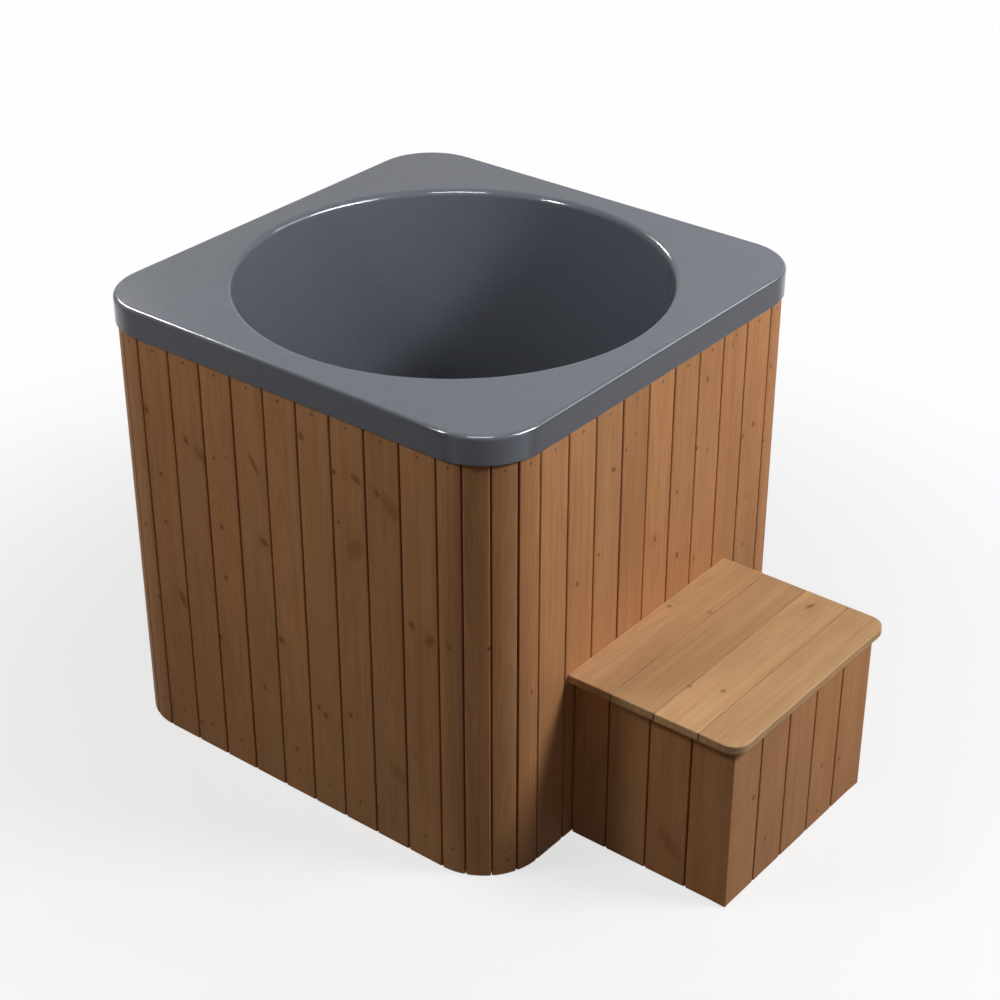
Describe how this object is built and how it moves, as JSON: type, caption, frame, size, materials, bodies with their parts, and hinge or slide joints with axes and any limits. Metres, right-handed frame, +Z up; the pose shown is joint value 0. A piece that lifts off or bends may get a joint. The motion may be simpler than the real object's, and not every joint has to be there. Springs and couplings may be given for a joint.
{
  "type": "cold plunge tub with step",
  "caption": "Square timber-clad cold plunge tub with rounded corners, a moulded round bowl with a turned-down rim, a floor drain with ball valve and a loose step box.",
  "frame": {"origin": "on the floor under the middle of the bowl, on the underside of the middle skid", "axes": "+Z up, -Y towards the step, +Y towards the drain valve"},
  "size_m": [1.006, 1.5258, 0.964],
  "materials": {
    "gelcoat": "satin grey gelcoat on laminate",
    "cladding_wood": "heat-treated softwood, planed and oiled",
    "tread_wood": "heat-treated softwood, planed",
    "frame_timber": "sawn softwood",
    "plywood": "exterior plywood",
    "insulation": "rigid foam",
    "pipe_plastic": "grey drain plastic",
    "seat_plastic": "white valve seat plastic",
    "grip_plastic": "dipped plastic",
    "rubber": "black rubber",
    "brass": "plain cast and turned brass",
    "steel": "stainless steel"
  },
  "bodies": {
    "tub": {"bowl_shell": "gelcoat", "front_cladding_boards": "cladding_wood", "right_cladding_boards": "cladding_wood", "back_cladding_boards": "cladding_wood", "left_cladding_boards": "cladding_wood", "front_closing_board": "cladding_wood", "right_closing_board": "cladding_wood", "back_closing_board": "cladding_wood", "left_closing_board": "cladding_wood", "front_right_corner_staves": "cladding_wood", "back_right_corner_staves": "cladding_wood", "back_left_corner_staves": "cladding_wood", "front_left_corner_staves": "cladding_wood", "cladding_nails": "steel", "top_ring": "plywood", "middle_ring": "plywood", "base_panel": "plywood", "corner_posts": "frame_timber", "rim_bearers": "frame_timber", "rim_corner_blocks": "frame_timber", "left_skid": "frame_timber", "middle_skid": "frame_timber", "right_skid": "frame_timber", "bowl_floor_bearers": "frame_timber", "floor_insulation": "insulation", "lower_wall_insulation": "insulation", "upper_wall_insulation": "insulation", "drain_fitting": "pipe_plastic", "drain_gasket": "rubber", "drain_nut": "pipe_plastic", "drain_elbow": "pipe_plastic", "drain_pipe": "pipe_plastic", "pipe_cover_plate": "pipe_plastic", "valve_body": "brass", "valve_seats": "seat_plastic", "valve_end": "brass", "valve_gland_nut": "brass"},
    "step_box": {"step_front_boards": "cladding_wood", "step_left_boards": "cladding_wood", "step_right_boards": "cladding_wood", "back_tread_board": "tread_wood", "second_tread_board": "tread_wood", "third_tread_board": "tread_wood", "front_tread_board": "tread_wood", "step_posts": "frame_timber", "step_top_rails": "frame_timber", "step_bottom_rails": "frame_timber", "step_middle_bearer": "frame_timber", "step_feet": "rubber", "tread_screws": "steel"},
    "plug": {"drain_plug": "rubber", "plug_ring": "steel"},
    "valve_handle": {"valve_ball": "steel", "valve_stem": "brass", "valve_lever": "steel", "lever_grip": "grip_plastic", "lever_nut": "steel"}
  },
  "joints": [
    {"name": "step_slide", "type": "slide", "parent": "tub", "child": "step_box", "axis": [0, -1, 0], "range_m": [0, 0.6]},
    {"name": "plug_lift", "type": "slide", "parent": "tub", "child": "plug", "axis": [0, 0, 1], "range_m": [0, 0.15]},
    {"name": "valve_turn", "type": "hinge", "parent": "tub", "child": "valve_handle", "pos_m": [0, 0.558, 0.094], "axis": [0, 0, 1], "range_deg": [0, 90]}
  ]
}
